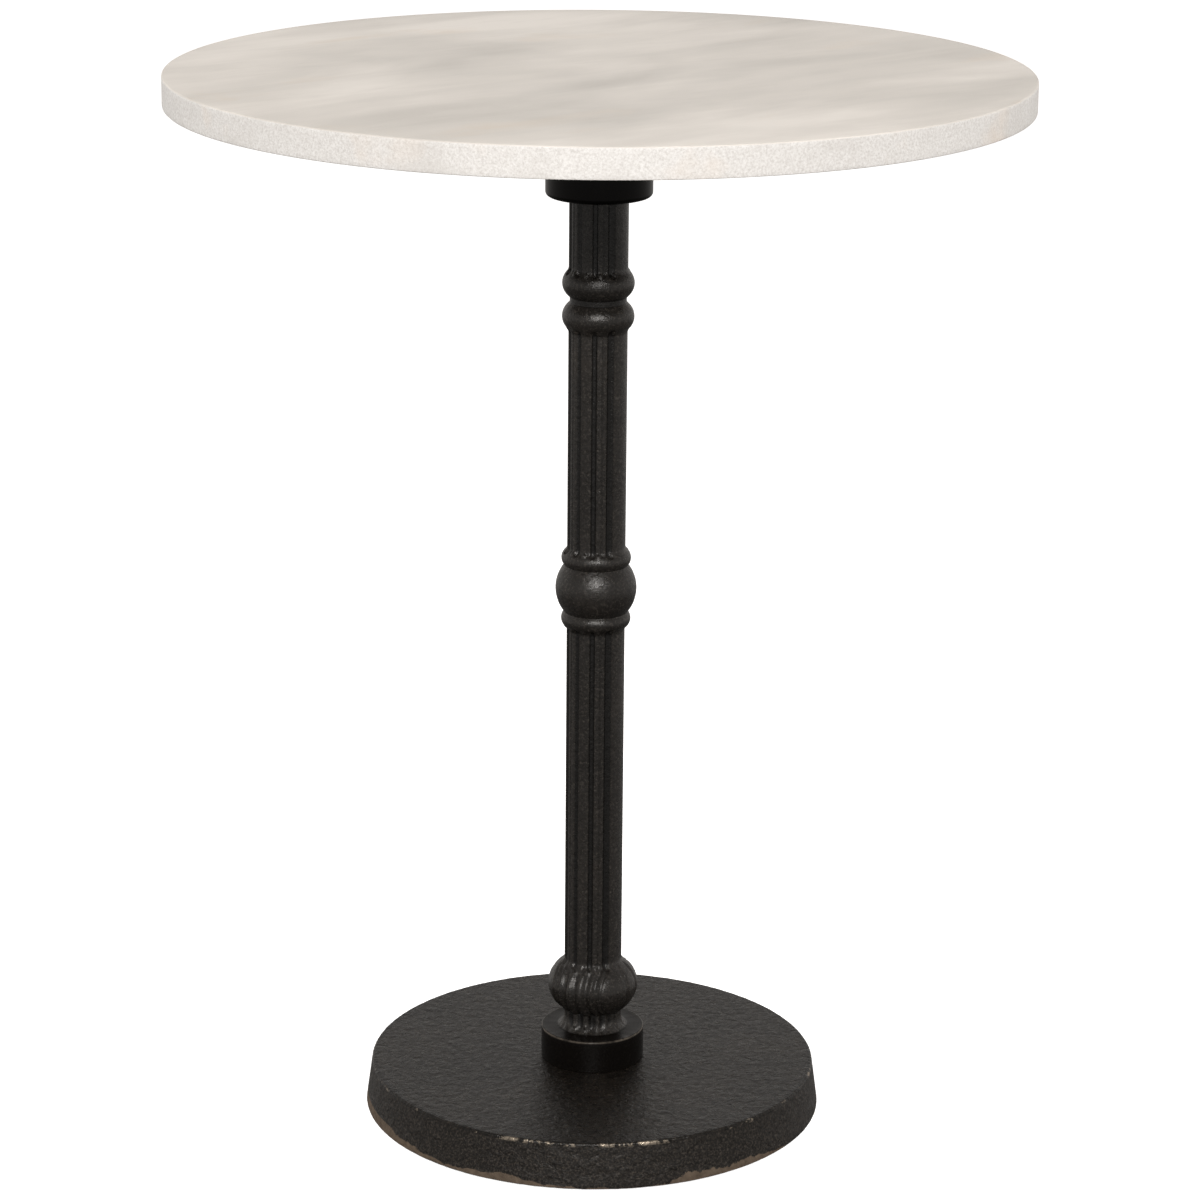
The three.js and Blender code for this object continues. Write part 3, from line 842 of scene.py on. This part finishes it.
def foot_casting():
    """Round foot with a cast skin on top, and ribs and lugs in its hollow underside."""
    piece = turned("foot_casting", foot_profile(), 384, closed=True)
    cast_skin(piece, foot_skin, 5 * MM, 0.4 * MM)
    into_plate = FOOT_HIGH - 9.5 * MM
    x, y = station("levelling_stem_1")
    from_axis = math.hypot(x, y)
    lug = bar(12 * MM, 12 * MM, into_plate, (from_axis, 0), 48)
    soften(lug, 1.2 * MM)
    webs = joined([round_the_axis(foot_rib(into_plate), QUARTERS), round_the_axis(lug, CORNERS)])
    cut(piece, webs, "UNION")
    bore = bar(4.4 * MM, 11 * MM, 31 * MM, (from_axis, 0), 32)
    hole_floor = FOOT_HIGH - 7.3 * MM
    dowel_hole = bar(DOWEL_HOLE_RADIUS, hole_floor, FOOT_HIGH + MM, station("column_dowel"), 32)
    cut(piece, joined([round_the_axis(bore, CORNERS), dowel_hole]))
    smooth(piece)
    return piece


def foot_rib(into_plate):
    """One rib, which gets shallower towards the skirt."""
    half_width = 4 * MM
    rib_low = 11 * MM
    rise = 4 * MM
    rib = block((38 * MM, FOOT_RADIUS - 11 * MM), (-half_width, half_width), (rib_low, into_plate))
    select_vertices(rib, lambda place: place.z < into_plate - MM and place.x > FOOT_RADIUS / 2)
    bpy.ops.transform.translate(value=(0, 0, rise))
    leave_edit()
    soften(rib, 1.2 * MM)
    return rib


def soften(piece, width):
    """Rounds a casting's sharp edges."""
    limits = {"limit_method": "ANGLE", "angle_limit": math.radians(40)}
    apply_modifier(piece, "BEVEL", width=width, segments=3, **limits)


# ---- Spider ----


def spider_casting():
    """Round hub with a pocket for the rod's nut, and four ribbed arms with a pad seat at each tip."""
    hub_radius = BOSS_RADIUS
    edge = 3.5 * MM
    register = SPIGOT_RADIUS + FIT_GAP
    register_top = COLUMN_HIGH + FIT_GAP
    pocket_radius, pocket_floor = 16 * MM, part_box("top_rod_washer")[0].z
    profile = [(register, SPIDER_LOW)]
    profile += arc(hub_radius - edge, SPIDER_LOW + edge, edge, edge, -90, 0, 8)
    profile += [(hub_radius, SPIDER_HIGH - MM), (hub_radius - MM, SPIDER_HIGH)]
    profile += [(pocket_radius, SPIDER_HIGH), (pocket_radius, pocket_floor)]
    profile += [(ROD_HOLE_RADIUS, pocket_floor), (ROD_HOLE_RADIUS, register_top), (register, register_top)]
    piece = turned("spider_casting", profile, 160, closed=True)
    cut(piece, round_the_axis(spider_arm(), QUARTERS), "UNION")
    smooth(piece)
    return piece


def spider_arm():
    """One arm along X: a flat flange over a tapering rib, with a bored round tip."""
    from_axis, _ = station("spider_bolt_1")
    inner = 30 * MM
    flange_half, rib_half = 13 * MM, 4 * MM
    flange_low = SPIDER_HIGH - 7 * MM
    rib_low = SPIDER_HIGH - 39 * MM
    rib_rise = 27 * MM
    tip_radius, tip_low = 17 * MM, SPIDER_HIGH - 10 * MM
    flange = block((inner, from_axis), (-flange_half, flange_half), (flange_low, SPIDER_HIGH))
    rib = block((inner, from_axis), (-rib_half, rib_half), (rib_low, flange_low + MM))
    select_vertices(rib, lambda place: place.z < flange_low - MM and place.x > from_axis / 2)
    bpy.ops.transform.translate(value=(0, 0, rib_rise))
    leave_edit()
    soften(rib, 1.0 * MM)
    soften(flange, 1.2 * MM)
    tip = bar(tip_radius, tip_low, SPIDER_HIGH, (from_axis, 0), 64)
    soften(tip, 1.2 * MM)
    cut(flange, rib, "UNION")
    cut(flange, tip, "UNION")
    washer_seat = bar(10 * MM, tip_low - 10 * MM, tip_low, (from_axis, 0), 48)
    cut(flange, washer_seat)
    cut(flange, bar(ARM_HOLE_RADIUS, tip_low - MM, SPIDER_HIGH + MM, (from_axis, 0), 48))
    return flange


# ---- Fixings ----


def ringed_thread(radius, low, high, pitch):
    """Profile of a threaded length, from its lower to its upper end."""
    root = radius - 0.55 * pitch
    points = []
    for i in range(int((high - low) / pitch)):
        base = low + i * pitch
        points += [(radius, base + 0.1 * pitch), (root, base + 0.5 * pitch), (radius, base + 0.9 * pitch)]
    return points


def hexagonal(name, flats, low, high):
    """Hexagon with its corners turned to a cone at both ends."""
    corner = flats / math.sqrt(3)
    chamfer = (corner - flats / 2) * 0.55
    face_radius = flats / 2 - 0.2 * MM
    piece = bar(corner, low, high, sides=6)
    piece.name = name
    cone = [(0, low), (face_radius, low), (corner, low + chamfer), (corner, high - chamfer)]
    blank = turned("blank", cone + [(face_radius, high), (0, high)], 72)
    cut(piece, blank, "INTERSECT")
    return piece


def nut(name, node, bore):
    low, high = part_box(node)
    flats = min(high.x - low.x, high.y - low.y)
    piece = hexagonal(name, flats, low.z, high.z)
    cut(piece, bar(bore, low.z - MM, high.z + MM, sides=48))
    smooth(piece, 30)
    return piece


def washer(name, node, hole):
    """Stamped washer with a rounded upper and a sharper lower edge, modelled on the axis."""
    low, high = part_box(node)
    outer = (high.x - low.x) / 2
    edge = min(0.4 * MM, (high.z - low.z) / 4)
    profile = [(hole, low.z), (outer - edge / 2, low.z), (outer, low.z + edge / 2)]
    profile += arc(outer - edge, high.z - edge, edge, edge, 0, 90, 3)
    profile += [(hole, high.z)]
    piece = turned(name, profile, 64, closed=True)
    smooth(piece)
    return piece


def threaded_rod(name, node, pitch, threads):
    """Plain rod with threaded lengths, given as (low, high) heights, and chamfered ends."""
    low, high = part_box(node)
    radius = (high.x - low.x) / 2
    chamfer = MM
    profile = [(0, low.z), (radius - chamfer, low.z), (radius, low.z + chamfer)]
    for start, end in threads:
        profile += ringed_thread(radius, start, end, pitch)
    profile += [(radius, high.z - chamfer), (radius - chamfer, high.z), (0, high.z)]
    piece = turned(name, profile, 48)
    smooth(piece, 25)
    return piece


def arm_bolt():
    """Hexagon bolt, threaded from just above its head to its chamfered end."""
    low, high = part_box("spider_bolt_1")
    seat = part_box("spider_washer_1")[0].z
    piece = hexagonal("arm_bolt", SPANNER, low.z, seat)
    radius = 3.8 * MM
    shank = [(0, seat - MM), (radius, seat - MM)]
    shank += ringed_thread(radius, seat + 3 * MM, high.z - MM, M8_PITCH)
    shank += [(radius - 0.8 * MM, high.z), (0, high.z)]
    cut(piece, turned("shank", shank, 40), "UNION")
    smooth(piece, 28)
    return piece


def glide():
    """Nylon glide: a slightly crowned disc with a raised socket for the stem's foot."""
    low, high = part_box("levelling_foot_1")
    radius = (high.x - low.x) / 2
    lower_round, upper_round = 1.2 * MM, 2 * MM
    rim_top = low.z + 3.2 * MM
    socket_radius, socket_floor = 5.4 * MM, low.z + 3 * MM
    profile = [(0, low.z), (radius - 1.6 * MM, low.z)]
    profile += arc(radius - lower_round, low.z + lower_round, lower_round, lower_round, -90, 0, 5)
    profile += arc(radius - upper_round, rim_top, upper_round, upper_round, 0, 90, 5)
    profile += [(8.6 * MM, rim_top + upper_round), (7.8 * MM, high.z - 0.5 * MM), (7.3 * MM, high.z)]
    profile += [(socket_radius, high.z), (socket_radius, socket_floor), (0, socket_floor)]
    piece = turned("glide", profile, 72)
    smooth(piece)
    return piece


def levelling_stem():
    """Threaded stem with a round foot for the glide's socket and a hexagon collar for a spanner."""
    low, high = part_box("levelling_stem_1")
    collar_low, collar_high = low.z + 4.1 * MM, low.z + 8.1 * MM
    overlap = 0.5 * MM
    piece = hexagonal("stem", SPANNER, collar_low, collar_high)
    foot_radius, foot_arris = 5 * MM, 0.8 * MM
    foot = [(0, low.z), (foot_radius - foot_arris, low.z), (foot_radius, low.z + foot_arris)]
    foot += [(foot_radius, collar_low + overlap), (0, collar_low + overlap)]
    cut(piece, turned("stem_foot", foot, 48), "UNION")
    radius, undercut, point = 4 * MM, 3.2 * MM, 0.8 * MM
    thread = [(0, collar_high - overlap), (undercut, collar_high - overlap)]
    thread += [(undercut, collar_high + 0.6 * MM)]
    thread += ringed_thread(radius, collar_high + 0.8 * MM, high.z - point, M8_PITCH)
    thread += [(radius - point, high.z), (0, high.z)]
    cut(piece, turned("stem_thread", thread, 48), "UNION")
    smooth(piece, 28)
    return piece


def insert():
    """Brass insert with grooves round it for the glue."""
    low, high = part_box("top_insert_1")
    outer, bore = (high.x - low.x) / 2, 4.15 * MM
    arris = 0.4 * MM
    grooves, half_width, depth = 4, 0.6 * MM, 0.5 * MM
    pitch = (high.z - low.z) / (grooves + 1)
    profile = [(bore, low.z), (outer - arris, low.z), (outer, low.z + arris)]
    for i in range(1, grooves + 1):
        middle = low.z + i * pitch
        profile += [(outer, middle - half_width), (outer - depth, middle), (outer, middle + half_width)]
    profile += [(outer, high.z - arris), (outer - arris, high.z), (bore, high.z)]
    piece = turned("insert", profile, 48, closed=True)
    smooth(piece, 25)
    return piece


# ---- Table ----


def build():
    """Makes every piece and puts it in its node's place."""
    column_iron = painted_iron("column_iron", BOSS_TOP, SHAFT_TOP)
    # The hub's lower part, which shows under the slab, gets the near-black colour of the turned ends as
    # painted shade.
    spider_iron = painted_iron("spider_iron", SPIDER_HIGH - 42 * MM)
    steel = zinc()
    rubber = moulded("pad_rubber", 0.012, 0.022, 0.7)
    nylon = moulded("glide_nylon", 0.016, 0.026, 0.45)
    fit(slab(), "marble_top", TABLE, marble())
    fit(column_casting(), "column", TABLE, column_iron)
    fit(foot_casting(), "base_plate", TABLE, foot_iron())
    fit(spider_casting(), "top_spider", TABLE, spider_iron)
    fittings(steel)
    set_out(arm_bolt(), "spider_bolt", 4, TABLE, steel)
    set_out(washer("arm_washer", "spider_washer_1", 4.2 * MM), "spider_washer", 4, TABLE, steel)
    set_out(washer("pad", "spider_pad_1", 5 * MM), "spider_pad", 4, TABLE, rubber)
    set_out(insert(), "top_insert", 4, TABLE, brass())
    set_out(glide(), "levelling_foot", 4, "glide_{}", nylon)
    set_out(levelling_stem(), "levelling_stem", 4, "stem_{}", steel)


def fittings(steel):
    """The tie rod with its nuts and washers, and the dowel."""
    rod_low, rod_high = (corner.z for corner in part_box("tie_rod"))
    threads = ((rod_low + 2 * MM, rod_low + 22 * MM), (rod_high - 24 * MM, rod_high - 2 * MM))
    fit(threaded_rod("rod", "tie_rod", M12_PITCH, threads), "tie_rod", TABLE, steel)
    for end in ("top", "bottom"):
        fit(nut(f"{end}_nut", f"{end}_rod_nut", 6 * MM), f"{end}_rod_nut", TABLE, steel)
        piece = washer(f"{end}_washer", f"{end}_rod_washer", 6.5 * MM)
        fit(piece, f"{end}_rod_washer", TABLE, steel)
    split = washer("split_washer", "bottom_lock_washer", 6.2 * MM)
    low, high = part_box("bottom_lock_washer")
    half_slit = 0.6 * MM
    cut(split, block((0, 12 * MM), (-half_slit, half_slit), (low.z - MM, high.z + MM)))
    fit(split, "bottom_lock_washer", TABLE, steel)
    x, y = station("column_dowel")
    pin = threaded_rod("dowel_pin", "column_dowel", M12_PITCH, ())
    pin.data.transform(Matrix.Translation((x, y, 0)))
    fit(pin, "column_dowel", TABLE, steel)


# ---- Studio ----

CAMERA_PLACE = Vector((0, -2.734, 1.1884))
CAMERA_LENS = 119.8
CAMERA_PITCH = 16.411
CAMERA_YAW = 0.062
CAMERA_ROLL = 0.487
WARM_WHITE = (1, 0.962, 0.925)
# Brightness of the studio's walls, as (share of the way from the floor to the ceiling, level).
WALLS = ((0.0, 0.05), (0.32, 0.12), (0.42, 0.55), (0.54, 0.62), (0.66, 0.52), (0.80, 0.40), (1.0, 0.36))


def floor():
    """White paper under the table."""
    bpy.ops.object.select_all(action="DESELECT")
    bpy.ops.mesh.primitive_plane_add(size=14)
    ground = bpy.context.object
    ground.name = "studio_floor"
    # The paper is lit to white without throwing its glare back up on to the dark iron.
    ground.visible_diffuse = False
    ground.visible_glossy = False
    pale = Finish("pale_floor", Roughness=0.9, Emission_Strength=0.8)
    tone = pale.ramp(pale.noise(3, 2), [(0.3, grey(0.90)), (0.7, grey(0.92))])
    ground.data.materials.append(pale.set(Base_Color=tone, Emission_Color=tone))


def softbox(name, place, target, size, power):
    bpy.ops.object.light_add(type="AREA", location=place)
    light = bpy.context.object
    light.name = name
    light.data.shape = "RECTANGLE"
    light.data.size, light.data.size_y = size
    light.data.energy = power
    light.data.color = WARM_WHITE
    light.rotation_euler = (Vector(target) - Vector(place)).to_track_quat("-Z", "Y").to_euler()
    return light


def lights():
    """Grey studio walls, one softbox in front, one overhead and a weak one at each side."""
    world = bpy.data.worlds.new("studio")
    bpy.context.scene.world = world
    world.use_nodes = True
    nodes, links = world.node_tree.nodes, world.node_tree.links
    direction = nodes.new("ShaderNodeTexCoord").outputs["Generated"]
    height = nodes.new("ShaderNodeSeparateXYZ")
    walls = nodes.new("ShaderNodeValToRGB")
    links.new(direction, height.inputs["Vector"])
    spread = nodes.new("ShaderNodeMapRange")
    spread.inputs["From Min"].default_value = -1
    links.new(height.outputs["Z"], spread.inputs["Value"])
    links.new(spread.outputs["Result"], walls.inputs["Fac"])
    elements = walls.color_ramp.elements
    while len(elements) < len(WALLS):
        elements.new(0.5)
    for element, (position, level) in zip(elements, WALLS):
        element.position = position
        element.color = (*(tint * level for tint in WARM_WHITE), 1)
    links.new(walls.outputs["Color"], nodes["Background"].inputs["Color"])
    softbox("front", (0, -3.2, 2.05), (0, 0, 0.4), (1.1, 0.5), 96)
    overhead = softbox("overhead", (0, 0.2, 2.4), (0, 0, 0.7), (1.4, 1.4), 6)
    overhead.visible_glossy = False
    for side in (-1, 1):
        fill = softbox(f"fill_{side}", (2.35 * side, 0.85, 1.3), (0, 0, 0.6), (1.0, 1.2), 30)
        fill.visible_glossy = False


def camera():
    """A long lens in front of the table and a little above it."""
    bpy.ops.object.camera_add(location=CAMERA_PLACE)
    eye = bpy.context.object
    eye.name = "studio_camera"
    eye.data.lens = CAMERA_LENS
    eye.data.sensor_width = 36
    eye.rotation_mode = "QUATERNION"
    pitch, yaw, roll = (math.radians(a) for a in (CAMERA_PITCH, CAMERA_YAW, CAMERA_ROLL))
    level = Matrix.Rotation(-yaw, 4, "Z") @ Matrix.Rotation(math.pi / 2 - pitch, 4, "X")
    eye.rotation_quaternion = (level @ Matrix.Rotation(roll, 4, "Z")).to_quaternion()
    bpy.context.scene.camera = eye


camera()
floor()
lights()
build()
bpy.context.scene.view_settings.view_transform = "Standard"
